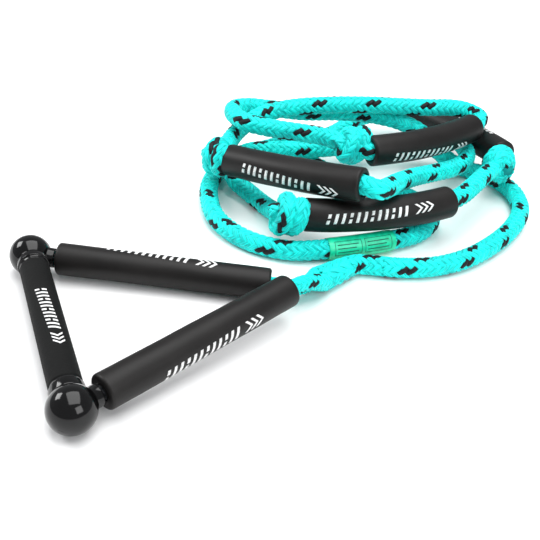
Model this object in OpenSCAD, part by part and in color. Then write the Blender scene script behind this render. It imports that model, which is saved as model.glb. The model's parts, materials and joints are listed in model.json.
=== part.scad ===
// Tow rope handle: floating grip, two-leg rope bridle with foam floats, and a coiled
// floating line with four knots, four foam floats, a label sleeve and a boat-end eye.
// The handle bar lies along X, the line runs away from it along +Y, and +Z is up.

/* [Handle bar] */
// Distance between the centres of the two end balls
bar_span = 236; // [220:1:260]
// Diameter of each end ball
ball_d = 42; // [38:1:46]
// Diameter of the collar between ball and grip
collar_d = 31; // [30:0.5:33]
// Distance from the ball centre to the outer face of its collar
collar_reach = 27; // [25:1:30]
// Outside diameter of the foam grip
grip_d = 29; // [27:0.5:30]
// Outside diameter of the aluminium tube
tube_d = 22; // [20:0.5:22]
// Wall thickness of the aluminium tube
tube_wall = 1.5; // [1:0.25:2]

/* [Bridle] */
// Diameter of the rope in each bridle leg
leg_d = 15.6; // [14:0.2:16]
// Angle between the bar and the near leg, in degrees
near_leg_angle = 67; // [66:0.5:68]
// Upward slope of the near leg, which lies over the far float
near_leg_slope = 2.6; // [2:0.1:3]
// Angle between the bar and the far leg, in degrees
far_leg_angle = 64.6; // [63:0.5:65.5]
// Slope of the far leg, which comes down to the floor
far_leg_slope = -0.9; // [-0.95:0.05:-0.7]
// Outside diameter of each bridle float
float_d = 33; // [30:0.5:33]
// Length of each bridle float
bridle_float_len = 218; // [205:1:219]
// Distance from the ball centre to the start of a bridle float
float_gap = 28; // [27:0.5:30]

/* [Line] */
// Diameter of the main rope
rope_d = 23; // [21:0.5:23]
// Outside diameter of each float on the line
line_float_d = 38; // [34:0.5:38]
// Length of each float on the line
line_float_len = 184; // [180:1:186]
// Bore of each float on the line
line_float_bore = 28; // [27.6:0.2:29]
// Diameter of the space that each overhand knot fills
knot_d = 46; // [40:1:46]
// Outside diameter of the shrunk label sleeve
label_d = 25.4; // [25:0.2:25.6]
// Length of the label sleeve
label_len = 82; // [60:1:86]
// Diameter of the rope in the boat-end eye
eye_rope_d = 20; // [18:0.5:20]

/* [Hidden] */

$fn = 64;
fit_gap = 0.05;                      // radial clearance of pieces pushed together
bar_y = -160;                        // the bar's axis, in Y
bar_z = ball_d / 2;                  // the bar's axis, above the floor
ball_r = ball_d / 2;
near_end = [bar_span / 2, bar_y, bar_z];
far_end = [-bar_span / 2, bar_y, bar_z];
tube_end = bar_span / 2 - 15;        // the tube stops short of the knot in each ball
core_end = tube_end - 6;             // the foam plug stops inside the tube
knot_room_d = 25;                    // cavity in each ball
stopper_d = 23;                      // stopper knot in that cavity
leg_hole_d = 16.6;                   // rope hole in each ball and boss
leg_start = float_gap + 0.2;         // a leg starts just clear of its boss
boss_d = 20;                         // boss round the rope hole, short of the float
boss_root = 17;
boss_reach = float_gap - 2.5;
stub_len = boss_reach - 0.3;         // the knot's rope ends inside the boss, clear of the leg as the bar rolls
float_bore = 16.8;                   // bore of a bridle float
float_chamfer = 2.5;                 // bevel on the ends of every float

// Where the bridle bends from the line: the lead starts just past this point
throat = [-32, 170, 12];
throat_r = 11;

// Unit vector for a heading in the floor plane and a slope above it
function heading(yaw, slope) = [cos(slope) * cos(yaw), cos(slope) * sin(yaw), sin(slope)];
near_dir = heading(180 - near_leg_angle, near_leg_slope);
far_dir = heading(far_leg_angle, far_leg_slope);
function near_point(s) = near_end + s * near_dir;
function far_point(s) = far_end + s * far_dir;
leg_out = float_gap + bridle_float_len + 12;    // where a leg bends towards the throat

// Float on the line: [start point, yaw at the start, slope, bend to the left in degrees]
float_1 = [[-180, 256, 72], 89, 0, 28];
float_2 = [[-220, 88, 57], 27, 10, 12];
float_3 = [[-96, 133, 44], 70, 0.5, 32];
float_4 = [[-182, 464, 47], 176, -3, 30];

// Knots on the line, counted from the handle
knot_1 = [-200, 240, 72];
knot_2 = [-235, 80, 55];
knot_3 = [-98, 115, 46];
knot_4 = [-160, 444, 46];

lie = rope_d / 2;                    // height of a rope's centre where it lies on the floor

// Route of the line between its floats, from the throat to the boat-end eye
lead_route = [[-29, 181, 12], [-14, 218, lie], [-7, 256, lie], [-12, 300, lie], [-30, 348, lie],
              [-60, 400, lie], [-92, 436, lie], [-124, 456, lie], [-156, 464, lie], [-196, 455, 12],
              [-222, 430, 14], [-238, 402, 31], [-250, 379, 54], [-266, 354, 66], [-296, 318, 68],
              [-316, 280, 66], [-328, 230, 65], [-340, 190, 68], [-342, 160, 72], [-328, 132, 77],
              [-298, 120, 81], [-268, 124, 83], [-248, 148, 82], [-232, 182, 80], [-222, 210, 77]];
top_route = [[-240, 458, 77], [-254, 444, 83], [-256, 418, 88], [-256, 388, 90], [-264, 356, 90],
             [-284, 304, 88], [-302, 250, 84], [-314, 200, 78], [-316, 162, 69], [-302, 130, 58]];
middle_route = [[-56, 198, 88], [-72, 222, 81], [-100, 250, 69], [-130, 292, 57], [-152, 338, 48], [-170, 380, 42],
                [-190, 410, 40], [-205, 424, 40], [-222, 431, 41], [-240, 432, 42], [-263, 416, 40],
                [-274, 386, 37], [-272, 340, 36], [-270, 290, 36], [-270, 235, 36], [-276, 180, 37],
                [-282, 140, 36], [-272, 112, 30], [-248, 106, 17], [-218, 115, lie],
                [-176, 124, lie], [-140, 122, 24]];
right_route = [[-93, 340, 46], [-116, 375, 46], [-139, 408, 46]];
tail_route = [[-380, 392, 33], [-378, 345, 24], [-362, 300, 14], [-347, 255, lie],
              [-343, 205, lie], [-326, 158, lie], [-296, 112, lie], [-255, 78, lie],
              [-205, 60, lie], [-155, 56, lie], [-108, 74, lie], [-78, 108, 12],
              [-68, 148, 13], [-68, 238, 13], [-76, 275, lie], [-97, 306, lie],
              [-127, 321, lie], [-160, 313, lie], [-188, 290, lie], [-204, 272, lie]];
label_start = [-68, 152, 13];

// The tail flares into the eye: [centre, half width, half height]
eye_flare = [[[-204, 272, lie], lie, lie], [[-212, 263, lie], 15, 11.2], [[-224, 249, 11], 20.5, 10.9]];
eye_yaw = 229;
// Right-hand half of the eye, along and across its axis from the flare
eye_half = [[0, 10.5], [16, 14], [32, 23], [50, 29], [67, 26], [79, 15]];

// The two legs flare into one rope: [centre, half width, half height]
throat_flare = [[[-18, 124, 10.8], 18.5, 10.4], [[-22, 138, 11.8], 16, 11.4],
                [[-27, 153, 12.2], 13, 11.8], [throat, throat_r, throat_r]];
near_tail = [[10, 94, 29], [1, 110, 20], [-9, 123.5, 11]];
far_tail = [[-6, 89, 13], [-14, 106, 10], [-27, 122, 9.5]];

sides = 8;                           // sides of every rope tube
ring_turn = 180 / sides;             // puts a flat side down

// Direction at point i of a path
function tangent(p, i) =
    let(d = p[min(i + 1, len(p) - 1)] - p[max(i - 1, 0)]) d / norm(d);
function side_of(t) = let(s = cross(t, [0, 0, 1])) s / norm(s);

// Point at angle a on an oval ring about c, square to direction t
function ring_point(c, t, wide, high, a) =
    let(s = side_of(t), u = cross(s, t)) c + wide * cos(a) * s + high * sin(a) * u;

// Rope tube or flare: rings is a list of [centre, half width, half height]
module sweep(rings) {
    centres = [for (r = rings) r[0]];
    count = len(rings);
    points = [for (i = [0 : count - 1], k = [0 : sides - 1])
        ring_point(centres[i], tangent(centres, i), rings[i][1], rings[i][2],
                   360 * k / sides + ring_turn)];
    walls = [for (i = [0 : count - 2], k = [0 : sides - 1])
        let(n = (k + 1) % sides)
        [i * sides + k, i * sides + n, (i + 1) * sides + n, (i + 1) * sides + k]];
    first = [for (k = [sides - 1 : -1 : 0]) k];
    last = [for (k = [0 : sides - 1]) (count - 1) * sides + k];
    polyhedron(points, concat(walls, [first, last]));
}

module rope(path, d) sweep([for (p = path) [p, d / 2, d / 2]]);

// Centre of a line float, s from 0 at its start to 1 at its end
function bend_radius(f) = line_float_len * 180 / (PI * f[3]);
function float_point(f, s) =
    let(r = bend_radius(f), a = f[3] * s,
        x = r * sin(a) * cos(f[2]), y = r * (1 - cos(a)), z = r * sin(a) * sin(f[2]))
    f[0] + [x * cos(f[1]) - y * sin(f[1]), x * sin(f[1]) + y * cos(f[1]), z];
function float_path(f) = [for (i = [0 : 3]) float_point(f, i / 3)];

// Puts children with their axis on +Z at a point, pointing along a direction
module aim(at, direction)
    translate(at)
    rotate([0, acos(direction[2] / norm(direction)), atan2(direction[1], direction[0])])
    children();

module handle_tube() color("silver")
    translate([0, bar_y, bar_z]) rotate([0, 90, 0]) difference() {
        cylinder(d = tube_d, h = 2 * tube_end, center = true);
        cylinder(d = tube_d - 2 * tube_wall, h = 2 * tube_end + 2, center = true);
    }

module flotation_core() color("ivory")
    translate([0, bar_y, bar_z]) rotate([0, 90, 0])
    cylinder(d = tube_d - 2 * tube_wall - 2 * fit_gap, h = 2 * core_end, center = true);

module grip_sleeve() color("#1c1c1d")
    translate([0, bar_y, bar_z]) rotate([0, 90, 0]) difference() {
        cylinder(d = grip_d, h = bar_span - 2 * collar_reach, center = true);
        cylinder(d = tube_d + 2 * fit_gap, h = bar_span, center = true);
    }

// Ball with its stepped collar, on +Z towards the grip, and with the knot's cavity
module cap_body() {
    step_d = collar_d - 3;
    difference() {
        union() {
            sphere(d = ball_d);
            cylinder(d = collar_d, h = collar_reach - 4);
            cylinder(d = step_d, h = collar_reach);
        }
        sphere(d = knot_room_d);
        cylinder(d = tube_d + 2 * fit_gap, h = collar_reach + 1);
    }
}

// Boss that carries the rope hole out from the ball, on +Z; it starts inside the ball's wall
module rope_boss() translate([0, 0, boss_root]) difference() {
    cylinder(d = boss_d, h = boss_reach - boss_root);
    translate([0, 0, -1]) cylinder(d = leg_hole_d + 0.2, h = boss_reach);
}

// End cap: x_dir points from the ball to the grip, and leg is its rope's direction
module end_cap(at, x_dir, leg) color("#0b0b0c") {
    difference() {
        aim(at, [x_dir, 0, 0]) cap_body();
        aim(at, leg) cylinder(d = leg_hole_d, h = ball_d);
    }
    aim(at, leg) rope_boss();
}

module stopper_knot(at, leg) color("turquoise") {
    translate(at) sphere(d = stopper_d);
    aim(at, leg) cylinder(d = leg_d, h = stub_len);
}

// Foam tube on +Z, with bevelled ends and a bore
module foam_tube(d, bore, length) rotate_extrude()
    polygon([[bore / 2, 0], [d / 2 - float_chamfer, 0], [d / 2, float_chamfer],
             [d / 2, length - float_chamfer], [d / 2 - float_chamfer, length], [bore / 2, length]]);

module bridle_float(start, leg) color("#2a2726")
    aim(start, leg) foam_tube(float_d, float_bore, bridle_float_len);

// A leg runs straight through its float and then bends to the throat
module bridle_rope(start, bend_at, tail) color("turquoise") rope(concat([start, bend_at], tail), leg_d);

// The splice ends in a dome about the throat, so it keeps its gap to the lead while it turns
module throat_splice() color("turquoise") {
    way = tangent([for (r = throat_flare) r[0]], len(throat_flare) - 1);
    dome = [for (a = [25 : 25 : 75]) [throat + throat_r * sin(a) * way, throat_r * cos(a), throat_r * cos(a)]];
    sweep(concat(throat_flare, dome));
}

// Bent foam tube on the line, as a piece of a torus
module line_float(f) color("#2a2726") {
    r = bend_radius(f);
    translate(f[0]) rotate([0, 0, f[1]]) rotate([0, -f[2], 0])
    translate([0, r, 0]) rotate([0, 0, -90]) rotate_extrude(angle = f[3])
    translate([r, 0]) difference() {
        circle(d = line_float_d);
        circle(d = line_float_bore);
    }
}

module line_knot(at) color("turquoise") translate(at) sphere(d = knot_d);

module line_rope(path) color("turquoise") rope(path, rope_d);

module label_sleeve() color("mediumseagreen")
    translate(label_start) rotate([-90, 0, 0]) difference() {
        cylinder(d = label_d, h = label_len);
        translate([0, 0, -1]) cylinder(d = rope_d + 0.8, h = label_len + 2);
    }

module eye_splice() color("turquoise") sweep(eye_flare);

// The eye's rope: out along one half of its outline and back along the other
module tow_eye() color("turquoise") {
    root = eye_flare[len(eye_flare) - 1][0];
    last = len(eye_half) - 1;
    outline = concat(eye_half, [for (i = [last : -1 : 0]) [eye_half[i][0], -eye_half[i][1]]]);
    rope([for (p = outline) root + p[0] * heading(eye_yaw, 0) + p[1] * heading(eye_yaw - 90, 0)],
         eye_rope_d);
}

handle_tube();
flotation_core();
grip_sleeve();
end_cap(near_end, -1, near_dir);  // end_cap_near
end_cap(far_end, 1, far_dir);  // end_cap_far
stopper_knot(near_end, near_dir);  // stopper_knot_near
stopper_knot(far_end, far_dir);  // stopper_knot_far
bridle_rope(near_point(leg_start), near_point(leg_out), near_tail);  // bridle_rope_near
bridle_rope(far_point(leg_start), far_point(leg_out), far_tail);  // bridle_rope_far
bridle_float(near_point(float_gap), near_dir);  // bridle_float_near
bridle_float(far_point(float_gap), far_dir);  // bridle_float_far
throat_splice();
line_rope(concat(lead_route, [knot_1]));  // line_rope_1
line_rope(concat([knot_1], float_path(float_1), top_route, [knot_2]));  // line_rope_2
line_rope(concat([knot_2], float_path(float_2), middle_route, [knot_3]));  // line_rope_3
line_rope(concat([knot_3], float_path(float_3), right_route, [knot_4]));  // line_rope_4
line_rope(concat([knot_4], float_path(float_4), tail_route));  // line_rope_5
line_knot(knot_1);  // line_knot_1
line_knot(knot_2);  // line_knot_2
line_knot(knot_3);  // line_knot_3
line_knot(knot_4);  // line_knot_4
line_float(float_1);  // line_float_1
line_float(float_2);  // line_float_2
line_float(float_3);  // line_float_3
line_float(float_4);  // line_float_4
label_sleeve();
eye_splice();
tow_eye();
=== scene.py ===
"""Tow rope handle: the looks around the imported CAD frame. Lengths are in metres."""
import json
import math

import bpy
import numpy as np
from mathutils import Matrix, Vector


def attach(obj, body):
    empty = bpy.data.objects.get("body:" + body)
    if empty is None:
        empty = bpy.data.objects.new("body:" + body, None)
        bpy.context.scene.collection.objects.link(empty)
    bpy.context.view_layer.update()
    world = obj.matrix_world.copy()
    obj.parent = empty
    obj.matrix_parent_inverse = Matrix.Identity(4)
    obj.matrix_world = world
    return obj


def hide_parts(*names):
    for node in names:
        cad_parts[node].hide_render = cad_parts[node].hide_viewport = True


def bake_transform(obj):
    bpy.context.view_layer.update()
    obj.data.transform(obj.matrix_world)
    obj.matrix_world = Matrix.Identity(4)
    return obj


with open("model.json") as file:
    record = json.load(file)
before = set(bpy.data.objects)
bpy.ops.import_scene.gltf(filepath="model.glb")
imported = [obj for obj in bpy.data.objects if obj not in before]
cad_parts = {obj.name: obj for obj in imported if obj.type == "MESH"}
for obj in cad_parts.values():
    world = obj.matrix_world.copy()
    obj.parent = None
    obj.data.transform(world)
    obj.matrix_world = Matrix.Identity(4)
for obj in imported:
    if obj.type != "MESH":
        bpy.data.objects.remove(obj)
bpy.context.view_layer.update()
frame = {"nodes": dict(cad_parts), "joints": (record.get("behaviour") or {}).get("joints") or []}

# ---------------------------------------------------------------- driving sizes
ROPE_R = 0.0115              # main rope
LEG_R = 0.0078               # rope in the bridle legs
EYE_R = 0.010                # rope in the boat-end eye
KNOT_ROPE_R = 0.0104         # the rope is squeezed thinner inside a knot
LEG_FLOAT_R = 0.0165         # floats on the bridle
LINE_FLOAT_R = 0.019         # floats on the line
LINE_FLOAT_LEN = 0.184
LINE_FLOAT_BORE_R = 0.0130
LEG_FLOAT_LEN = 0.218
LEG_FLOAT_BORE_R = 0.0084
LEG_FLOAT_START = 0.028      # from the ball's centre to the float
LEG_OUT = 0.258              # from the ball's centre to where a leg bends
BALL_R = 0.021
HALF_BAR = 0.118             # from the middle of the bar to a ball's centre
BAR_Y = -0.160
COLLAR_R = 0.0155
COLLAR_REACH = 0.027
GRIP_R = 0.0145
LABEL_R = 0.0126
LABEL_LEN = 0.082

BRAID_ANGLE = math.radians(40)
CARRIERS = 8                 # strands laid each way round
STEP = 0.0024                # spacing of the rings along a rope
HIDDEN_STEP = 0.011          # the same inside a float

# ---------------------------------------------------------------- routes
THROAT = (-0.032, 0.170, 0.012)
KNOTS = [
    (-0.200, 0.240, 0.072), (-0.235, 0.080, 0.055), (-0.098, 0.115, 0.046), (-0.160, 0.444, 0.046),
]
# Floats on the line: start, yaw and slope there, and how far each bends to the left, in degrees
FLOATS = [
    ((-0.180, 0.256, 0.072), 89, 0, 28),
    ((-0.220, 0.088, 0.057), 27, 10, 12),
    ((-0.096, 0.133, 0.044), 70, 0.5, 32),
    ((-0.182, 0.464, 0.047), 176, -3, 30),
]
LEAD_ROUTE = [
    (-0.029, 0.181, 0.012), (-0.014, 0.218, ROPE_R), (-0.007, 0.256, ROPE_R), (-0.012, 0.3, ROPE_R),
    (-0.03, 0.348, ROPE_R), (-0.06, 0.4, ROPE_R), (-0.092, 0.436, ROPE_R), (-0.124, 0.456, ROPE_R),
    (-0.156, 0.464, ROPE_R), (-0.196, 0.455, 0.012), (-0.222, 0.43, 0.014), (-0.238, 0.402, 0.031),
    (-0.25, 0.379, 0.054), (-0.266, 0.354, 0.066), (-0.296, 0.318, 0.068), (-0.316, 0.28, 0.066),
    (-0.328, 0.23, 0.065), (-0.34, 0.19, 0.068), (-0.342, 0.16, 0.072), (-0.328, 0.132, 0.077),
    (-0.298, 0.12, 0.081), (-0.268, 0.124, 0.083), (-0.248, 0.148, 0.082), (-0.232, 0.182, 0.08),
    (-0.222, 0.21, 0.077),
]
TOP_ROUTE = [
    (-0.24, 0.458, 0.077), (-0.254, 0.444, 0.083), (-0.256, 0.418, 0.088), (-0.256, 0.388, 0.09),
    (-0.264, 0.356, 0.09), (-0.284, 0.304, 0.088), (-0.302, 0.25, 0.084), (-0.314, 0.2, 0.078),
    (-0.316, 0.162, 0.069), (-0.302, 0.13, 0.058),
]
MIDDLE_ROUTE = [
    (-0.056, 0.198, 0.088), (-0.072, 0.222, 0.081), (-0.1, 0.25, 0.069), (-0.13, 0.292, 0.057),
    (-0.152, 0.338, 0.048), (-0.17, 0.38, 0.042), (-0.19, 0.41, 0.04), (-0.205, 0.424, 0.04),
    (-0.222, 0.431, 0.041), (-0.24, 0.432, 0.042), (-0.263, 0.416, 0.04), (-0.274, 0.386, 0.037),
    (-0.272, 0.34, 0.036), (-0.27, 0.29, 0.036), (-0.27, 0.235, 0.036), (-0.276, 0.18, 0.037),
    (-0.282, 0.14, 0.036), (-0.272, 0.112, 0.03), (-0.248, 0.106, 0.017), (-0.218, 0.115, ROPE_R),
    (-0.176, 0.124, ROPE_R), (-0.14, 0.122, 0.024),
]
RIGHT_ROUTE = [(-0.093, 0.34, 0.046), (-0.116, 0.375, 0.046), (-0.139, 0.408, 0.046)]
TAIL_ROUTE = [
    (-0.38, 0.392, 0.033), (-0.378, 0.345, 0.024), (-0.362, 0.3, 0.014), (-0.347, 0.255, ROPE_R),
    (-0.343, 0.205, ROPE_R), (-0.326, 0.158, ROPE_R), (-0.296, 0.112, ROPE_R), (-0.255, 0.078, ROPE_R),
    (-0.205, 0.06, ROPE_R), (-0.155, 0.056, ROPE_R), (-0.108, 0.074, ROPE_R), (-0.078, 0.108, 0.012),
    (-0.068, 0.148, 0.013), (-0.068, 0.238, 0.013), (-0.076, 0.275, ROPE_R), (-0.097, 0.306, ROPE_R),
    (-0.127, 0.321, ROPE_R), (-0.16, 0.313, ROPE_R), (-0.188, 0.29, ROPE_R), (-0.204, 0.272, ROPE_R),
]
LABEL_START = (-0.068, 0.152, 0.013)
NEAR_TAIL = [(0.01, 0.094, 0.029), (0.001, 0.11, 0.02), (-0.009, 0.1235, 0.011)]
FAR_TAIL = [(-0.006, 0.089, 0.013), (-0.014, 0.106, 0.01), (-0.027, 0.122, 0.0095)]
SPLICE_ROUTE = [(-0.018, 0.124, 0.0108), (-0.022, 0.138, 0.0118), (-0.027, 0.153, 0.0122), THROAT]
EYE_FLARE = [(-0.204, 0.272, ROPE_R), (-0.212, 0.263, ROPE_R), (-0.224, 0.249, 0.011)]
EYE_YAW = 229                # the way the eye lies, in degrees
# Half of the eye's outline: distance ahead and distance aside
EYE_HALF = [(0, 0.0105), (0.016, 0.014), (0.032, 0.023), (0.05, 0.029), (0.067, 0.026), (0.079, 0.015)]


# ---------------------------------------------------------------- camera
def camera(at, azimuth, pitch, roll, lens):
    """A camera at a point: azimuth 0 looks along +Y, pitch is downwards, roll is about the view."""
    a, e, r = (math.radians(v) for v in (azimuth, pitch, roll))
    right = Vector((math.cos(a), math.sin(a), 0))
    level = Vector((-math.sin(a), math.cos(a), 0))
    forward = level * math.cos(e) - Vector((0, 0, 1)) * math.sin(e)
    down = forward.cross(right)
    x = right * math.cos(r) + down * math.sin(r)
    y = right * math.sin(r) - down * math.cos(r)
    turn = Matrix((x, y, -forward)).transposed().to_4x4()
    eye = bpy.data.objects.new("camera", bpy.data.cameras.new("camera"))
    eye.data.lens = lens
    eye.data.clip_start = 0.01
    eye.matrix_world = Matrix.Translation(at) @ turn
    bpy.context.scene.collection.objects.link(eye)
    bpy.context.scene.camera = eye


camera(at=(0.593, -0.221, 0.465), azimuth=65.1, pitch=32.8, roll=-5.9, lens=52.6)


# ---------------------------------------------------------------- materials
def material(name, color, roughness, **more):
    """A material, its node tree and its shader; more sets sockets by name, with _ for a space."""
    mat = bpy.data.materials.new(name)
    mat.use_nodes = True
    shader = mat.node_tree.nodes["Principled BSDF"]
    shader.inputs["Base Color"].default_value = (*color, 1)
    shader.inputs["Roughness"].default_value = roughness
    mat.diffuse_color = (*color, 1)
    for key, value in more.items():
        shader.inputs[key.replace("_", " ")].default_value = value
    return mat, mat.node_tree, shader


def noise(tree, vector, scale, detail=3.0, stretch=(1, 1, 1)):
    mapping = tree.nodes.new("ShaderNodeMapping")
    mapping.inputs["Scale"].default_value = stretch
    tree.links.new(vector, mapping.inputs["Vector"])
    node = tree.nodes.new("ShaderNodeTexNoise")
    node.inputs["Scale"].default_value = scale
    node.inputs["Detail"].default_value = detail
    tree.links.new(mapping.outputs["Vector"], node.inputs["Vector"])
    return node.outputs["Fac"]


def ramp(tree, fac, stops):
    node = tree.nodes.new("ShaderNodeValToRGB")
    while len(node.color_ramp.elements) < len(stops):
        node.color_ramp.elements.new(0.5)
    for element, (place, color) in zip(node.color_ramp.elements, stops):
        element.position = place
        element.color = (*color, 1)
    tree.links.new(fac, node.inputs["Fac"])
    return node.outputs["Color"]


def bump(tree, shader, height, strength, distance, below=None):
    node = tree.nodes.new("ShaderNodeBump")
    node.inputs["Strength"].default_value = strength
    node.inputs["Distance"].default_value = distance
    tree.links.new(height, node.inputs["Height"])
    if below is not None:
        tree.links.new(below, node.inputs["Normal"])
    tree.links.new(node.outputs["Normal"], shader.inputs["Normal"])
    return node.outputs["Normal"]


def coordinates(tree, kind="Object"):
    return tree.nodes.new("ShaderNodeTexCoord").outputs[kind]


def multiplied(tree, fac, a, b):
    node = tree.nodes.new("ShaderNodeMix")
    node.data_type = "RGBA"
    node.blend_type = "MULTIPLY"
    node.inputs["Factor"].default_value = fac
    tree.links.new(a, node.inputs["A"])
    tree.links.new(b, node.inputs["B"])
    return node.outputs["Result"]


def vary_roughness(tree, shader, fac, low, high):
    shade = tree.nodes.new("ShaderNodeMapRange")
    shade.inputs["To Min"].default_value = low
    shade.inputs["To Max"].default_value = high
    tree.links.new(fac, shade.inputs["Value"])
    tree.links.new(shade.outputs["Result"], shader.inputs["Roughness"])


def yarn_material(name, dark, mid, light, roughness, sheen):
    """Yarn: fine fibres along each strand, with soft patches of lighter and darker colour."""
    mat, tree, shader = material(name, mid, roughness, Sheen_Weight=sheen, Specular_IOR_Level=0.25)
    yarn = coordinates(tree, "UV")
    fibres = noise(tree, yarn, 1.0, 4.0, (11, 130, 1))
    patches = noise(tree, coordinates(tree), 55, 3.0)
    fine = ramp(tree, fibres, [(0.30, dark), (0.52, mid), (0.72, light)])
    soft = ramp(tree, patches, [(0.32, (0.60, 0.72, 0.76)), (0.58, (1, 1, 1))])
    tree.links.new(multiplied(tree, 0.8, fine, soft), shader.inputs["Base Color"])
    coarse = bump(tree, shader, noise(tree, yarn, 1.0, 2.0, (4, 60, 1)), 0.7, 0.0008)
    bump(tree, shader, fibres, 0.8, 0.0006, coarse)
    return mat


def foam_material(name, dark, light, roughness, grain, depth, shine=0.5):
    """Closed-cell foam: a fine grain, with faint rubs."""
    mat, tree, shader = material(name, dark, roughness, Specular_IOR_Level=shine)
    place = coordinates(tree)
    cells = noise(tree, place, grain, 4.0)
    rubs = noise(tree, place, 26, 5.0)
    tint = ramp(tree, rubs, [(0.35, dark), (0.70, light)])
    speck = ramp(tree, cells, [(0.35, (0.82, 0.82, 0.82)), (0.65, (1, 1, 1))])
    tree.links.new(multiplied(tree, 0.7, tint, speck), shader.inputs["Base Color"])
    vary_roughness(tree, shader, rubs, roughness - 0.06, roughness + 0.08)
    bump(tree, shader, cells, 0.35, depth)
    return mat


TURQUOISE = yarn_material("rope_turquoise", dark=(0.0, 0.36, 0.35), mid=(0.001, 0.79, 0.72),
                          light=(0.012, 0.98, 0.92), roughness=0.6, sheen=0.04)
TRACER = yarn_material("rope_tracer", dark=(0.002, 0.002, 0.003), mid=(0.004, 0.005, 0.007),
                       light=(0.014, 0.016, 0.02), roughness=0.6, sheen=0.0)
# The heart is a darker turquoise than the yarn: painted shade where it shows in the gaps between the strands.
HEART_PAINTED_SHADE = yarn_material("rope_heart_painted_shade", dark=(0.0, 0.20, 0.19), mid=(0.0, 0.34, 0.32),
                      light=(0.0, 0.45, 0.42), roughness=0.8, sheen=0.0)
FLOAT_FOAM = foam_material("float_foam", dark=(0.0045, 0.0038, 0.0036), light=(0.0085, 0.0074, 0.0070),
                           roughness=0.46, grain=1800, depth=0.0002, shine=0.26)
GRIP_FOAM = foam_material("grip_foam", dark=(0.0045, 0.0048, 0.0048), light=(0.008, 0.0085, 0.0085),
                          roughness=0.75, grain=1200, depth=0.0004, shine=0.14)


def plastic_material():
    mat, tree, shader = material("cap_plastic", (0.0025, 0.0025, 0.0027), 0.09, Specular_IOR_Level=0.34)
    swirl = noise(tree, coordinates(tree), 90, 4.0)
    vary_roughness(tree, shader, swirl, 0.05, 0.15)
    return mat


def ink_material(name, color, roughness, grain, stops):
    """Print on foam or film: its tone follows a fine noise, as if it had worn."""
    mat, tree, shader = material(name, color, roughness)
    worn = noise(tree, coordinates(tree), grain, 3.0)
    tree.links.new(ramp(tree, worn, stops), shader.inputs["Base Color"])
    return mat


def film_material():
    mat, tree, shader = material("label_film", (0.0, 0.55, 0.27), 0.42, Coat_Weight=0.15, Coat_Roughness=0.3)
    tone = noise(tree, coordinates(tree), 120, 4.0)
    tint = ramp(tree, tone, [(0.3, (0.0, 0.50, 0.26)), (0.65, (0.002, 0.76, 0.42))])
    tree.links.new(tint, shader.inputs["Base Color"])
    bump(tree, shader, noise(tree, coordinates(tree), 300, 3.0), 0.2, 0.0002)
    return mat


CAP_PLASTIC = plastic_material()
PRINT_WHITE = ink_material("print_white", (0.8, 0.8, 0.8), 0.55, 900,
                           [(0.32, (0.5, 0.5, 0.5)), (0.5, (0.86, 0.86, 0.86))])
LABEL_FILM = film_material()
LABEL_INK = ink_material("label_ink", (0.0, 0.10, 0.07), 0.5, 700,
                         [(0.3, (0.0, 0.16, 0.10)), (0.5, (0.0, 0.06, 0.045))])


# ---------------------------------------------------------------- mesh helpers
def unit(v):
    return v / np.linalg.norm(v, axis=-1, keepdims=True)


def heading(yaw, slope):
    y, s = math.radians(yaw), math.radians(slope)
    return np.array([math.cos(s) * math.cos(y), math.cos(s) * math.sin(y), math.sin(s)])


def spline(points, per_span=24):
    """Centripetal Catmull-Rom curve through the points."""
    p = np.array(points, float)
    p = np.vstack([2 * p[0] - p[1], p, 2 * p[-1] - p[-2]])
    knots = np.concatenate([[0], np.cumsum(np.sqrt(np.linalg.norm(np.diff(p, axis=0), axis=1)))])
    out = []
    for i in range(1, len(p) - 2):
        t0, t1, t2, t3 = knots[i - 1:i + 3]
        t = np.linspace(t1, t2, per_span, endpoint=False)[:, None]
        a = ((t1 - t) * p[i - 1] + (t - t0) * p[i]) / (t1 - t0)
        b = ((t2 - t) * p[i] + (t - t1) * p[i + 1]) / (t2 - t1)
        c = ((t3 - t) * p[i + 1] + (t - t2) * p[i + 2]) / (t3 - t2)
        d = ((t2 - t) * a + (t - t0) * b) / (t2 - t0)
        e = ((t3 - t) * b + (t - t1) * c) / (t3 - t1)
        out.append(((t2 - t) * d + (t - t1) * e) / (t2 - t1))
    return np.vstack(out + [p[-2:-1]])


RUN_ON = 0.02                # a line runs on straight past both its ends
LINE_STEP = 0.001            # spacing of a line's points
PATH_STEP = 0.006            # and of the points it gives as a cord's path


class Line:
    """A centreline at even steps, with a frame that turns with it as little as it can."""

    def __init__(self, points, smooth=True):
        p = spline(points) if smooth else np.array(points, float)
        lead = unit(p[0] - p[1]) * RUN_ON
        tail = unit(p[-1] - p[-2]) * RUN_ON
        p = np.vstack([p[0] + lead, p, p[-1] + tail])
        run = np.concatenate([[0], np.cumsum(np.linalg.norm(np.diff(p, axis=0), axis=1))])
        self.length = run[-1] - 2 * RUN_ON
        count = int(run[-1] / LINE_STEP) + 2
        self.s = np.linspace(0, run[-1], count) - RUN_ON
        self.p = np.column_stack([np.interp(self.s + RUN_ON, run, p[:, k]) for k in range(3)])
        self.t = unit(np.gradient(self.p, axis=0))
        side = np.cross(self.t[0], (0, 0, 1))
        sides = []
        for t in self.t:
            side = side - t * (side @ t)
            side = side / np.linalg.norm(side)
            sides.append(side)
        self.a = np.array(sides)
        self.b = np.cross(self.a, self.t)

    def look(self, table, s):
        return np.stack([np.interp(s, self.s, table[:, k]) for k in range(3)], -1)

    def on(self, s, angle, wide, high=None):
        """Points round the line at distance s along it: wide along its side, high along its up."""
        high = wide if high is None else high
        across = (wide * np.cos(angle))[..., None] * self.look(self.a, s)
        upward = (high * np.sin(angle))[..., None] * self.look(self.b, s)
        return self.look(self.p, s) + across + upward

    def path(self, lo, hi):
        """Points along the line from lo to hi."""
        s = np.linspace(lo, hi, max(int((hi - lo) / PATH_STEP), 2) + 1)
        return self.look(self.p, s)


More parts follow.
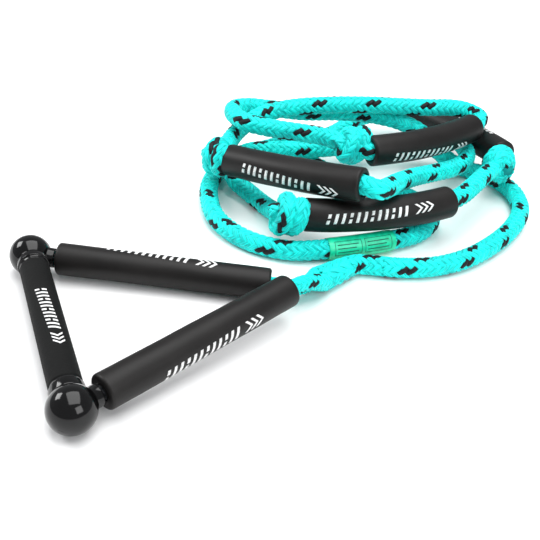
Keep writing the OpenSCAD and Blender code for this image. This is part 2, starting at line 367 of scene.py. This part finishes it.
def build(name, verts, faces, materials, numbers=None, uv=None):
    """A smooth-shaded mesh object; faces is a list or array, and uv has one row for each vertex."""
    mesh = bpy.data.meshes.new(name)
    faces = faces.tolist() if hasattr(faces, "tolist") else faces
    mesh.from_pydata(np.asarray(verts).tolist(), [], faces)
    for mat in materials:
        mesh.materials.append(mat)
    if numbers is not None:
        mesh.polygons.foreach_set("material_index", np.asarray(numbers, np.int32))
    mesh.polygons.foreach_set("use_smooth", np.ones(len(mesh.polygons), bool))
    if uv is not None:
        layer = mesh.uv_layers.new(name="yarn")
        corner = np.zeros(len(mesh.loops), np.int32)
        mesh.loops.foreach_get("vertex_index", corner)
        layer.data.foreach_set("uv", np.asarray(uv, np.float32)[corner].ravel())
    mesh.update()
    piece = bpy.data.objects.new(name, mesh)
    bpy.context.scene.collection.objects.link(piece)
    return piece


def grid_faces(rows, columns, first=0, closed=True):
    """Quads over rows of points; closed joins the last column to the first."""
    across = columns if closed else columns - 1
    i, k = np.meshgrid(np.arange(rows - 1), np.arange(across), indexing="ij")
    n = (k + 1) % columns
    quads = np.stack([i * columns + k, i * columns + n, (i + 1) * columns + n, (i + 1) * columns + k], -1)
    return first + quads.reshape(-1, 4)


def loop_faces(rows, columns, first=0, closed=True):
    """Quads over rows of points whose last row joins the first."""
    faces = grid_faces(rows + 1, columns, first, closed)
    return np.where(faces >= first + rows * columns, faces - rows * columns, faces)


def tapered(places, sizes):
    """A size as a function of the distance along a line, straight between those given at places."""
    return lambda s: np.interp(s, places, sizes)


# ---------------------------------------------------------------- braid
# One strand's outline, as shares of its half width and half thickness
STRAND = np.array([(-1, -0.25), (-0.78, 0.50), (-0.32, 0.95), (0.32, 0.95),
                   (0.78, 0.50), (1, -0.25), (0.5, -0.8), (-0.5, -0.8)])
WEAVE = 0.060                # how far a strand goes over or under, as a share of the rope's radius
THICK = 0.095                # half a strand's thickness, as a share of the rope's radius
LAY_R = 1 - WEAVE - THICK    # from the rope's centre to the middle of its strands, the same way
STRAND_FILL = 1.05           # strands side by side overlap a little
BLACK = (2, 3)               # the tracer strands among those laid one way round
# Quads that close a strand's end
LID = np.array([(0, 1, 4, 5), (1, 2, 3, 4), (0, 5, 6, 7)])
HEART_SIDES = 20
HEART_STEP = 0.004           # spacing of the heart's rings
HEART_GAP = 0.03             # between the heart and the strands, as a share of the rope's radius
STEEPNESS = 1.45             # how quickly a strand passes from over to under
# How far the yarn's fibres are shifted along from strand to strand, and from one way to the other
FIBRE_SHIFT = 0.037
WAY_SHIFT = 0.011


def strand_rings(line, s, size, squat, angle, lift, way):
    """Rings of points along one strand: each lies square to the strand, on the rope's own curve."""
    r = size(s)
    half = STRAND_FILL * math.pi * r * LAY_R / CARRIERS * math.cos(BRAID_ANGLE)
    across = half[:, None] * STRAND[:, 0]
    ring_s = s[:, None] - way * across * math.sin(BRAID_ANGLE)
    ring_angle = angle[:, None] + across * math.cos(BRAID_ANGLE) / (r * LAY_R)[:, None]
    ring_r = r[:, None] * (LAY_R + lift[:, None] + THICK * STRAND[:, 1])
    return line.on(ring_s, ring_angle, ring_r, ring_r * squat(s)[:, None])


def heart_tube(line, span, size, squat):
    """The tube of yarn inside the strands."""
    rows = int((span[1] - span[0]) / HEART_STEP) + 2
    s = np.linspace(*span, rows)[:, None]
    angle = np.linspace(0, 2 * math.pi, HEART_SIDES, endpoint=False)[None, :]
    r = size(s) * (LAY_R - HEART_GAP) + 0 * angle
    return line.on(s + 0 * angle, angle + 0 * s, r, r * squat(s)), s + 0 * angle, angle + 0 * s


def braid(name, line, radius, span=None, runs=None, flat=1.0, phase=0.0, step=STEP):
    """A hollow braid round a line: strands laid both ways, each over two and under two.
    radius is the rope's radius, and flat its height over its width, or functions of the distance
    along the line. span is the part of the line that the rope takes. runs are the stretches of it
    that have strands, each with the spacing of its rings."""
    span = (0.0, line.length) if span is None else span
    runs = [(*span, step)] if runs is None else runs
    size = radius if callable(radius) else (lambda s: np.full(np.shape(s), radius, float))
    squat = flat if callable(flat) else (lambda s: np.full(np.shape(s), flat, float))
    lay = np.cumsum(math.tan(BRAID_ANGLE) / (size(line.s) * LAY_R)) * (line.s[1] - line.s[0]) + phase
    columns = len(STRAND)
    verts, faces, numbers, uv = [], [], [], []
    total = 0
    for lo, hi, gap in runs:
        s = np.linspace(lo, hi, max(int((hi - lo) / gap), 3) + 1)
        turned = np.interp(s, line.s, lay)
        crossed = turned * CARRIERS / math.pi
        for way in (1, -1):
            for k in range(CARRIERS):
                wave = np.clip(STEEPNESS * np.cos(math.pi / 2 * (2 * k + way * crossed - 0.5)), -1, 1)
                angle = 2 * math.pi * k / CARRIERS + way * turned
                rings = strand_rings(line, s, size, squat, angle, way * WEAVE * wave, way)
                verts.append(rings.reshape(-1, 3))
                walls = grid_faces(len(s), columns, total)
                last = total + (len(s) - 1) * columns
                faces.append(np.vstack([walls, LID[:, ::-1] + total, LID + last]))
                numbers += [1 if way > 0 and k in BLACK else 0] * len(faces[-1])
                along = s[:, None] + FIBRE_SHIFT * k + WAY_SHIFT * way + 0 * STRAND[:, 0]
                uv.append(np.stack([np.arange(columns) / columns + 0 * along + k, along], -1).reshape(-1, 2))
                total += len(s) * columns
    # The heart tube takes the darker turquoise of the third material: painted shade between the strands.
    tube, tube_s, tube_angle = heart_tube(line, span, size, squat)
    verts.append(tube.reshape(-1, 3))
    faces.append(grid_faces(len(tube), HEART_SIDES, total))
    numbers += [2] * (len(faces[-1]) + 2)
    uv.append(np.stack([tube_angle, tube_s], -1).reshape(-1, 2))
    last = total + (len(tube) - 1) * HEART_SIDES
    lids = [list(range(total + HEART_SIDES - 1, total - 1, -1)), list(range(last, last + HEART_SIDES))]
    quads = np.vstack(faces).tolist() + lids
    return build(name, np.vstack(verts), quads, [TURQUOISE, TRACER, HEART_PAINTED_SHADE], numbers, np.vstack(uv))


# ---------------------------------------------------------------- the line
def float_centre(spec, count=40):
    """Points along the centre of a float on the line, which is bent on one arc."""
    start, yaw, slope, bend = spec
    radius = LINE_FLOAT_LEN / math.radians(bend)
    a = np.linspace(0, math.radians(bend), count)
    ahead = radius * np.sin(a)
    level, rise = ahead * math.cos(math.radians(slope)), ahead * math.sin(math.radians(slope))
    flat = np.column_stack([level, radius * (1 - np.cos(a)), rise])
    c, s = math.cos(math.radians(yaw)), math.sin(math.radians(yaw))
    turn = np.array([[c, -s, 0], [s, c, 0], [0, 0, 1]])
    return np.array(start) + flat @ turn.T


def float_path(spec):
    return [tuple(p) for p in float_centre(spec, 4)]


CORD_ROUTES = [
    LEAD_ROUTE + [KNOTS[0]],
    [KNOTS[0]] + float_path(FLOATS[0]) + TOP_ROUTE + [KNOTS[1]],
    [KNOTS[1]] + float_path(FLOATS[1]) + MIDDLE_ROUTE + [KNOTS[2]],
    [KNOTS[2]] + float_path(FLOATS[2]) + RIGHT_ROUTE + [KNOTS[3]],
    [KNOTS[3]] + float_path(FLOATS[3]) + TAIL_ROUTE,
]
KNOT_HALF = 0.012            # the strands of a rope stop this far from the middle of its knot
IN_FLOAT = 0.012             # inside a float, the fine rings go this far in from each end


def nearest(line, point):
    return float(line.s[np.argmin(np.linalg.norm(line.p - np.array(point), axis=1))])


def strand_runs(line, start, number, spec):
    """Where a rope has strands: not in the middle of its knots, and with few rings inside its float."""
    lo = KNOT_HALF if number > 0 else start
    hi = line.length - (KNOT_HALF if number < 4 else 0.0)
    if spec is None:
        return [(lo, hi, STEP)]
    centre = float_centre(spec)
    inside = (nearest(line, centre[0]) + IN_FLOAT, nearest(line, centre[-1]) - IN_FLOAT)
    return [(lo, inside[0], STEP), (*inside, HIDDEN_STEP), (inside[1], hi, STEP)]


bridle_line = Line(SPLICE_ROUTE + LEAD_ROUTE + [KNOTS[0]])
throat_s = nearest(bridle_line, THROAT)
# The short stretch at the throat
TURN_LO = throat_s - 0.012
TURN_HI = throat_s + 0.030

lines = [bridle_line] + [Line(route) for route in CORD_ROUTES[1:]]
cords = []
for i, line in enumerate(lines):
    span = (0.0 if i else TURN_HI, line.length)
    runs = strand_runs(line, span[0], i, FLOATS[i - 1] if i else None)
    rope = braid("rope_stretch_%d" % (i + 1), line, ROPE_R, span, runs, phase=0.9 * i)
    cords.append((rope, line.path(*span)))


# ---------------------------------------------------------------- knots
# One overhand knot: the rope goes in through its own turns, round them, and out the other side
KNOT_WRAP_R = 0.0140         # from the knot's axis to the middle of the rope in its turns
KNOT_TURNS = 1.4


def knot_points(half, lean):
    """Points of an overhand knot along +X, from -half to +half; its turns lean over by lean."""
    into = [(-half, 0, 0), (-0.6 * half, 0.002, 0.002), (0, 0.004, 0.003), (0.6 * half, 0.005, 0.004)]
    turns = []
    count = 14
    for i in range(count + 1):
        a = math.radians(50) + 2 * math.pi * KNOT_TURNS * i / count
        y, z = KNOT_WRAP_R * math.cos(a), KNOT_WRAP_R * math.sin(a)
        turns.append((0.52 * half * (1 - 2 * i / count) + lean * z, y, z))
    out = [(-0.55 * half, -0.005, -0.004), (0, -0.004, -0.004), (0.6 * half, -0.002, -0.002), (half, 0, 0)]
    return into + turns + out


def knot(name, at, along, roll, half, lean, wide=1.0):
    """An overhand knot of the line, pulled up against a float."""
    x = unit(np.array(along, float))
    y = unit(np.cross((0, 0, 1), x))
    z = np.cross(x, y)
    c, s = math.cos(math.radians(roll)), math.sin(math.radians(roll))
    axes = np.array([x, (c * y + s * z) * wide, (c * z - s * y) * wide])
    points = np.array(knot_points(half, lean)) @ axes + np.array(at)
    line = Line([tuple(p) for p in points])
    return braid(name, line, KNOT_ROPE_R, phase=roll, step=0.002)


# Roll, half length, lean and width of each knot
KNOT_SHAPES = [
    (20, 0.021, 0.40, 1.0), (75, 0.019, 0.35, 1.0), (60, 0.019, 0.25, 1.05), (230, 0.019, -0.30, 1.0),
]
knots = []
for i, (at, (roll, half, lean, wide)) in enumerate(zip(KNOTS, KNOT_SHAPES)):
    along = heading(FLOATS[i][1], FLOATS[i][2])
    knots.append(knot("overhand_knot_%d" % (i + 1), at, along, roll, half, lean, wide))


# ---------------------------------------------------------------- floats
# A float's softened end: distance in from the end, and drop below the full radius
BEVEL = [(0, 0.0027), (0.0004, 0.0016), (0.0011, 0.0007), (0.0022, 0.0001), (0.0032, 0)]


def foam_tube(name, line, length, radius, bore, seed):
    """A foam tube along a line, with softened ends, a bore, and the slight waves of soft foam."""
    sides = 72
    walls = [(d, radius - drop) for d, drop in BEVEL]
    plain = [(d, radius) for d in np.linspace(0.008, length - 0.008, int(length / 0.004))]
    outer = walls + plain + [(length - d, r) for d, r in reversed(walls)]
    inner = [(d, bore) for d in np.linspace(length, 0, 10)]
    profile = np.array([(0, bore + 0.001)] + outer + [(length, bore + 0.001)] + inner)
    s, r = profile[:, :1], profile[:, 1:]
    angle = np.linspace(0, 2 * math.pi, sides, endpoint=False)[None, :]
    waves = 0.00006 * np.sin(3 * angle + 61 * s + seed) + 0.00005 * np.sin(2 * angle - 107 * s + 2 * seed)
    skin = r > 0.85 * radius
    verts = line.on(s + 0 * angle, angle + 0 * s, r + waves * skin)
    return build(name, verts.reshape(-1, 3), loop_faces(len(profile), sides), [FLOAT_FOAM])


float_lines = [Line(float_centre(spec), smooth=False) for spec in FLOATS]
floats = []
for i, line in enumerate(float_lines):
    name = "foam_float_%d" % (i + 1)
    floats.append(foam_tube(name, line, LINE_FLOAT_LEN, LINE_FLOAT_R, LINE_FLOAT_BORE_R, 1.7 * i))


joint = {j["name"]: j for j in frame["joints"]}
near_dir = unit(np.array(joint["near_float_spin"]["axis"], float))
far_dir = unit(np.array(joint["far_float_spin"]["axis"], float))
near_ball = np.array([HALF_BAR, BAR_Y, BALL_R])
far_ball = np.array([-HALF_BAR, BAR_Y, BALL_R])


def leg_float(name, ball, direction, seed):
    along = LEG_FLOAT_START + np.linspace(0, LEG_FLOAT_LEN, 8)
    line = Line([ball + direction * d for d in along], smooth=False)
    return foam_tube(name, line, LEG_FLOAT_LEN, LEG_FLOAT_R, LEG_FLOAT_BORE_R, seed), line


near_float, near_float_line = leg_float("near_foam_float", near_ball, near_dir, 0.6)
far_float, far_float_line = leg_float("far_foam_float", far_ball, far_dir, 2.9)


# ---------------------------------------------------------------- bridle rope
# Distances from the ball's centre along a leg
NECK_IN = 0.012              # a leg's neck starts here, inside the ball
NECK_OUT = 0.050             # and ends here, inside the float
LEG_STEP = 0.0018            # spacing of the rings along a leg's rope
LEG_END_R = 0.0096           # a leg's rope swells to this at the splice
LEG_HIDDEN = 0.010           # its strands start this far inside the end of the float


def leg(name, ball, direction, tail):
    """One leg: the neck between ball and float, and the rest."""
    straight = [ball + direction * d for d in np.linspace(NECK_IN, LEG_OUT, 9)]
    line = Line(straight + [np.array(p) for p in tail])
    neck_end = NECK_OUT - NECK_IN
    shown = LEG_FLOAT_START + LEG_FLOAT_LEN - NECK_IN - LEG_HIDDEN
    neck = braid(name + "_neck", line, LEG_R, (0.0, neck_end), step=LEG_STEP)
    neck.data.materials[0] = TRACER    # the neck takes the black yarn as painted shade in the gap between ball and float
    swell = tapered([shown, line.length], [LEG_R, LEG_END_R])
    rest = braid(name, line, swell, (neck_end, line.length), [(shown, line.length, LEG_STEP)])
    return neck, rest


near_neck, near_leg = leg("near_leg_rope", near_ball, near_dir, NEAR_TAIL)
far_neck, far_leg = leg("far_leg_rope", far_ball, far_dir, FAR_TAIL)


# The two legs flare into one rope: half the width of the splice along its line, and its flatness
splice_width = tapered([0, 0.014, 0.030, throat_s, throat_s + 0.02], [0.0175, 0.0160, 0.0135, ROPE_R, ROPE_R])
splice_squat = tapered([0, 0.014, 0.030, throat_s], [0.60, 0.72, 0.88, 1.0])
splice = braid("splice", bridle_line, splice_width, (0.0, TURN_LO), flat=splice_squat)
throat = braid("throat", bridle_line, splice_width, (TURN_LO, TURN_HI), flat=splice_squat)


# ---------------------------------------------------------------- ball ends and grip
LATHE_SIDES = 96


def lathe(origin, axis, profile):
    """Points of a profile of (distance along, radius) turned about an axis."""
    axis = unit(np.array(axis, float))
    side = unit(np.cross(axis, (0, 0, 1)) if abs(axis[2]) < 0.9 else np.cross(axis, (0, 1, 0)))
    up = np.cross(side, axis)
    a = np.linspace(0, 2 * math.pi, LATHE_SIDES, endpoint=False)[None, :, None]
    s, r = (np.array(profile)[:, k][:, None, None] for k in (0, 1))
    return np.array(origin) + s * axis + r * (np.cos(a) * side + np.sin(a) * up)


def lathed(parts):
    """Vertices and faces of several lathed profiles, each closed by a lid at either end."""
    sides = LATHE_SIDES
    verts, faces, total = [], [], 0
    for rings in parts:
        rows = len(rings)
        verts.append(rings.reshape(-1, 3))
        faces += grid_faces(rows, sides, total).tolist()
        faces.append(list(range(total + sides - 1, total - 1, -1)))
        faces.append(list(range(total + (rows - 1) * sides, total + rows * sides)))
        total += rows * sides
    return np.vstack(verts), faces


def arc(centre, radius, start, end, count):
    """Points of a round stretch in a profile, angles in degrees from +along towards +radius."""
    angles = [math.radians(a) for a in np.linspace(start, end, count)]
    return [(centre[0] + radius * math.cos(a), centre[1] + radius * math.sin(a)) for a in angles]


HOLE_R = 0.0083              # rope hole in each ball and its boss
BOSS_R = 0.010
BOSS_REACH = 0.0255          # from the ball's centre to the end of its boss
BOSS_EDGE = 0.001            # radius of the boss's rounded edge
COLLAR_STEP = COLLAR_REACH - 0.004
COLLAR_EDGE = 0.0009         # radius of the rounded edge at the collar's step
TIP_EDGE = 0.0008            # and at its tip
GATE_R = 0.0022              # inside of the faint moulding ring on a ball
GATE_W = 0.0007
GATE_H = 0.0002


def ball_end(name, ball, inward, direction, gate):
    """A ball with a boss round its rope hole, and a stepped collar towards the grip."""
    skin = arc((0, 0), BALL_R, 179.5, 33, 48)
    fillet = [(0.0180, 0.0107), (0.0187, 0.0102)]
    boss = arc((BOSS_REACH - BOSS_EDGE, BOSS_R - BOSS_EDGE), BOSS_EDGE, 90, 0, 6)
    hole = [(BOSS_REACH, HOLE_R + 0.0004), (BOSS_REACH - 0.0004, HOLE_R), (0.013, HOLE_R)]
    shell = lathe(ball, direction, skin + fillet + boss + hole)
    collar = [(0.008, 0.0148), (0.0135, 0.0148), (0.0142, 0.01535), (0.0150, COLLAR_R)]
    collar += arc((COLLAR_STEP - COLLAR_EDGE, COLLAR_R - COLLAR_EDGE), COLLAR_EDGE, 90, 10, 6)
    collar += [(COLLAR_STEP, 0.0144), (COLLAR_STEP + 0.0003, 0.0140)]
    collar += arc((COLLAR_REACH - TIP_EDGE, 0.0132), TIP_EDGE, 90, 0, 6) + [(COLLAR_REACH, 0.0112)]
    ring = lathe(ball, (inward, 0, 0), collar)
    gate_dir = unit(np.array(gate, float))
    crown = [(GATE_H * math.sin(math.pi * t), GATE_R + GATE_W * t) for t in (0.25, 0.5, 0.75)]
    gate_rim = [(0, GATE_R)] + crown + [(0, GATE_R + GATE_W)]
    mark = lathe(ball + gate_dir * (BALL_R - GATE_H), gate_dir, gate_rim)
    verts, faces = lathed([shell, ring, mark])
    return build(name, verts, faces, [CAP_PLASTIC])


near_cap = ball_end("near_ball_end", near_ball, -1, near_dir, (0.72, -0.52, -0.30))
far_cap = ball_end("far_ball_end", far_ball, 1, far_dir, (-0.72, -0.52, -0.30))


GRIP_EDGE_IN = 0.0022        # the grip's ends are rounded over this length
GRIP_EDGE_DROP = 0.0012      # and by this much
PEBBLE = 0.00007             # height of the grip's pebbled skin


def grip_sleeve(name):
    """The grip: a foam sleeve with a fine pebbled skin and softened ends."""
    reach = HALF_BAR - COLLAR_REACH + 0.0003
    count, sides = 250, 132
    s = np.linspace(-reach, reach, count)[:, None]
    angle = np.linspace(0, 2 * math.pi, sides, endpoint=False)[None, :]
    spots = np.random.default_rng(7).standard_normal((count, sides))
    spots = (spots + np.roll(spots, 1, 1) + np.roll(spots, 1, 0)) / 3
    from_end = np.clip((reach - np.abs(s)) / GRIP_EDGE_IN, 0, 1)
    r = GRIP_R - GRIP_EDGE_DROP * (1 - np.sqrt(1 - (1 - from_end) ** 2)) + PEBBLE * spots
    verts = np.stack([s + 0 * angle, BAR_Y + r * np.cos(angle), BALL_R + r * np.sin(angle)], -1)
    faces = grid_faces(count, sides)[:, ::-1].tolist()
    faces.append(list(range(sides)))
    faces.append(list(range(count * sides - 1, (count - 1) * sides - 1, -1)))
    return build(name, verts.reshape(-1, 3), faces, [GRIP_FOAM])


grip = grip_sleeve("pebbled_grip")


# ---------------------------------------------------------------- label and eye
label_s = nearest(lines[4], LABEL_START)


FILM_WALL = 0.0005
FILM_GRIP = 0.0005           # the film tightens by this much at its ends
FILM_GRIP_LEN = 0.006        # over this length
FILM_RIPPLE = 0.00006        # and follows the braid under it by this much
RIPPLE_TURN = 520            # the ripple's phase, in radians for each metre


def film_tube(name, line, start, length, radius):
    """A sleeve of shrunk film: it dips into the braid and tightens at its ends."""
    sides = 64
    plain = np.linspace(0.0015, length - 0.0015, 60)
    s = np.concatenate([[0, 0.0004], plain, [length - 0.0004, length]])[:, None]
    angle = np.linspace(0, 2 * math.pi, sides, endpoint=False)[None, :]
    end = np.clip(1 - np.minimum(s, length - s) / FILM_GRIP_LEN, 0, 1)
    ripple = FILM_RIPPLE * np.sin(4 * angle + RIPPLE_TURN * s) * np.sin(4 * angle - RIPPLE_TURN * s)
    r = radius - FILM_GRIP * end ** 2 + ripple
    place = start + s + 0 * angle
    outer = line.on(place, angle + 0 * s, r)
    inner = line.on(place, angle + 0 * s, r - FILM_WALL)[::-1]
    points = np.concatenate([outer, inner])
    return build(name, points.reshape(-1, 3), loop_faces(len(points), sides), [LABEL_FILM])


label = film_tube("label_film_sleeve", lines[4], label_s, LABEL_LEN, LABEL_R)


def eye_points():
    """The eye's rope: out along one half of its outline and back along the other."""
    root = np.array(EYE_FLARE[-1])
    ahead, aside = heading(EYE_YAW, 0), heading(EYE_YAW - 90, 0)
    outline = EYE_HALF + [(x, -y) for x, y in reversed(EYE_HALF)]
    return [tuple(root + x * ahead + y * aside) for x, y in outline]


eye = braid("boat_eye", Line(eye_points()), EYE_R)
flare_line = Line([TAIL_ROUTE[-2]] + EYE_FLARE)
flare_lo = nearest(flare_line, EYE_FLARE[0])
flare_end = flare_line.length
flare_width = tapered([0, flare_lo, flare_lo + 0.012, flare_end], [ROPE_R, 0.0117, 0.0150, 0.0205])
flare_squat = tapered([flare_lo, flare_end], [1.0, 0.54])
eye_flare = braid("eye_splice_braid", flare_line, flare_width, (flare_lo, flare_end), flat=flare_squat)


# ---------------------------------------------------------------- printed marks
PRINT_LIFT = 0.00024         # a print stands this far off its tube
PRINT_ROOT = -0.0006         # and starts this far inside it
PRINT_CUTS = 6               # stretches that each edge of a print is cut into, to follow the tube


def slab(line, radius, corners):
    """A thin printed patch on a tube: corners are four (along, round) places, round in metres."""
    a, b, c, d = (np.array(p, float) for p in corners)
    t = np.linspace(0, 1, PRINT_CUTS + 1)[:, None]
    left, right = a + (d - a) * t, b + (c - b) * t
    flat = np.stack([left, left + (right - left) / 2, right], 0)
    size = flat.shape[:2]
    angle = flat[..., 1] / radius
    top, root = (line.on(flat[..., 0], angle, np.full(size, radius + h)) for h in (PRINT_LIFT, PRINT_ROOT))
    return np.concatenate([top, root[::-1]])


def print_on(name, line, radius, shapes, mat):
    """One printed piece from flat shapes: each has four (along, round) corners, round in metres."""
    verts, faces, total = [], [], 0
    for shape in shapes:
        points = slab(line, radius, shape)
        rows, columns = points.shape[:2]
        verts.append(points.reshape(-1, 3))
        faces += loop_faces(rows, columns, total, closed=False).tolist()
        for edge in (0, columns - 1):
            ring = [total + r * columns + edge for r in range(rows)]
            for i in range(rows // 2 - 1):
                faces.append([ring[i], ring[i + 1], ring[rows - 2 - i], ring[rows - 1 - i]])
        total += rows * columns
    return build(name, np.vstack(verts), faces, [mat])


def patch(left, right, width, lo, hi):
    """Corners of a patch as wide as width, from left at the height lo to right at the height hi."""
    return [(left, lo), (left + width, lo), (right + width, hi), (right, hi)]


# A row of marks, at a scale of 1
BARS = 12
BAR_PITCH = 0.0062
BAR_WIDTH = 0.0026
BAR_SLANT = 0.22             # how far a bar leans, as a share of its height
CHEVRON_START = 0.0790
CHEVRON_PITCH = 0.0058
CHEVRON_WIDTH = 0.0024
CHEVRON_REACH = 0.0052
TWIST_ROW = 0.0962           # the length over which a row turns by its twist


def marks(name, line, radius, start, turn, height, twist=0.0, scale=1.0):
    """A row of slanted bars and three chevrons printed along a tube: start is where it starts, turn
    its angle round the tube there and twist how much that angle grows, both in degrees."""
    slant = BAR_SLANT * height
    shapes = []
    for i in range(BARS):
        x = BAR_PITCH * i * scale
        for lo, hi in [(0, 1)] if i % 3 else [(0, 0.40), (0.60, 1)]:
            shapes.append(patch(x + slant * lo, x + slant * hi, BAR_WIDTH * scale, lo, hi))
    for k in range(3):
        x = (CHEVRON_START + CHEVRON_PITCH * k) * scale
        for edge in (0, 1):
            shapes.append(patch(x, x + CHEVRON_REACH * scale, CHEVRON_WIDTH * scale, edge, 0.5))
    placed = []
    for shape in shapes:
        centres = [math.radians(turn + twist * x / (TWIST_ROW * scale)) * radius for x, h in shape]
        placed.append([(start + x, c + (h - 0.5) * height) for (x, h), c in zip(shape, centres)])
    return print_on(name, line, radius, placed, PRINT_WHITE)


near_marks = marks("near_float_marks", near_float_line, LEG_FLOAT_R, 0.053, -16, 0.0125, 22, 1.17)
far_marks = marks("far_float_marks", far_float_line, LEG_FLOAT_R, 0.049, 122, 0.0125, -34, 1.16)
# Start, angle and twist of the marks on each float of the line
LINE_MARKS = [(0.024, -8, -18), (0.036, 8, -32), (0.022, 14, 22), (0.030, 80, 0)]
line_marks = []
for i, (start, turn, twist) in enumerate(LINE_MARKS):
    name = "float_%d_marks" % (i + 1)
    line_marks.append(marks(name, float_lines[i], LINE_FLOAT_R, start, turn, 0.0115, twist, 1.28))
grip_line = Line([(d, BAR_Y, BALL_R) for d in np.linspace(-HALF_BAR, HALF_BAR, 8)], smooth=False)
grip_marks = marks("grip_marks", grip_line, GRIP_R, 0.082, 84, 0.0105, 18, 0.88)


PANELS = ((0.006, 0.038), (0.042, 0.076))    # from and to, along the label
PANEL_HALF = 0.0085          # half the height of a panel
PANEL_LINE = 0.0005          # thickness of its frame
ROW_START = -0.0050          # the lowest line in a panel
ROW_PITCH = 0.0042
ROW_HEIGHT = 0.0009


def label_frame(name, start, turn):
    """Fine lines round two panels on the label, and three rows of plain lines in each."""
    shapes = []
    for lo, hi in PANELS:
        for low in (-PANEL_HALF, PANEL_HALF - PANEL_LINE):
            shapes.append(patch(lo, lo, hi - lo, low, low + PANEL_LINE))
        for x in (lo, hi - PANEL_LINE):
            shapes.append(patch(x, x, PANEL_LINE, -PANEL_HALF, PANEL_HALF))
        for row in range(3):
            low = ROW_START + ROW_PITCH * row
            end = hi - 0.004 - 0.003 * (row % 2)
            shapes.append(patch(lo + 0.003, lo + 0.003, end - lo - 0.003, low, low + ROW_HEIGHT))
    centre = math.radians(turn) * LABEL_R
    placed = [[(start + x, centre + h) for x, h in shape] for shape in shapes]
    return print_on(name, lines[4], LABEL_R, placed, LABEL_INK)


label_print = label_frame("label_frame_lines", label_s, 40)


# ---------------------------------------------------------------- fixing pieces to the frame
for i, (rope, _) in enumerate(cords):
    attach(rope, "line")
    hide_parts("line_rope_%d" % (i + 1))
for i in range(4):
    for piece, node, slot in ((knots[i], "line_knot_%d", "rope"), (floats[i], "line_float_%d", "float_foam")):
        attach(piece, "line")
        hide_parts(node % (i + 1))
    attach(line_marks[i], "line")

for piece, node, body, slot in (
        (label, "label_sleeve", "line", "label_film"),
        (eye, "tow_eye", "line", "rope"),
        (eye_flare, "eye_splice", "line", "rope"),
        (near_leg, "bridle_rope_near", "bridle", "rope"),
        (far_leg, "bridle_rope_far", "bridle", "rope"),
        (splice, "throat_splice", "bridle", "rope"),
        (near_float, "bridle_float_near", "near_float", "float_foam"),
        (far_float, "bridle_float_far", "far_float", "float_foam"),
        (near_cap, "end_cap_near", "handle", "cap_plastic"),
        (far_cap, "end_cap_far", "handle", "cap_plastic"),
        (grip, "grip_sleeve", "handle", "grip_foam")):
    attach(piece, body)
    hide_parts(node)
for piece, body, slot in ((near_marks, "near_float", "float_foam"), (far_marks, "far_float", "float_foam"),
                          (grip_marks, "handle", "grip_foam")):
    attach(piece, body)
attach(label_print, "line")

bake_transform(throat)
for neck, ball, direction in ((near_neck, near_ball, near_dir), (far_neck, far_ball, far_dir)):
    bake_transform(neck)


# ---------------------------------------------------------------- inner CAD parts
def dress(node, mat):
    """Gives a CAD node that is kept its material."""
    mesh = frame["nodes"][node].data
    mesh.materials.clear()
    mesh.materials.append(mat)


alloy, alloy_tree, alloy_shader = material("tube_alloy", (0.70, 0.71, 0.73), 0.32, Metallic=1.0)
drawn = noise(alloy_tree, coordinates(alloy_tree), 40, 3.0, (1, 60, 60))
bump(alloy_tree, alloy_shader, drawn, 0.2, 0.0002)
core, core_tree, core_shader = material("core_foam", (0.80, 0.78, 0.70), 0.9)
bump(core_tree, core_shader, noise(core_tree, coordinates(core_tree), 900, 3.0), 0.5, 0.0005)
stopper = foam_material("stopper_yarn", (0.0, 0.45, 0.42), (0.0, 0.72, 0.66), 0.6, 700, 0.0006)
dress("handle_tube", alloy)
dress("flotation_core", core)
dress("stopper_knot_near", stopper)
dress("stopper_knot_far", stopper)


# ---------------------------------------------------------------- floor and light
def floor():
    mat, _, _ = material("studio_floor", (0.93, 0.93, 0.93), 0.6)
    mesh = bpy.data.meshes.new("floor")
    half = 6.0
    corners = [(-half, -half, 0), (half, -half, 0), (half, half, 0), (-half, half, 0)]
    mesh.from_pydata(corners, [], [(0, 1, 2, 3)])
    mesh.materials.append(mat)
    plane = bpy.data.objects.new("floor", mesh)
    bpy.context.scene.collection.objects.link(plane)


def softbox(name, at, aim, size, power):
    light = bpy.data.lights.new(name, "AREA")
    light.shape = "RECTANGLE"
    light.size, light.size_y = size
    light.energy = power
    lamp = bpy.data.objects.new(name, light)
    aimed = (Vector(aim) - Vector(at)).to_track_quat("-Z", "Y").to_matrix().to_4x4()
    lamp.matrix_world = Matrix.Translation(at) @ aimed
    bpy.context.scene.collection.objects.link(lamp)


floor()
MIDDLE = (-0.1, 0.1, 0)
softbox("overhead", (-0.1, 0.3, 2.2), MIDDLE, (2.6, 2.0), 70)
softbox("left_window", (-1.4, -1.6, 1.5), MIDDLE, (1.1, 0.9), 34)
softbox("right_fill", (1.9, 0.9, 1.3), MIDDLE, (1.2, 1.2), 22)
world = bpy.data.worlds.new("studio")
world.use_nodes = True
world.node_tree.nodes["Background"].inputs["Color"].default_value = (0.95, 0.97, 1.0, 1)
world.node_tree.nodes["Background"].inputs["Strength"].default_value = 0.42
bpy.context.scene.world = world
bpy.context.scene.view_settings.view_transform = "Standard"
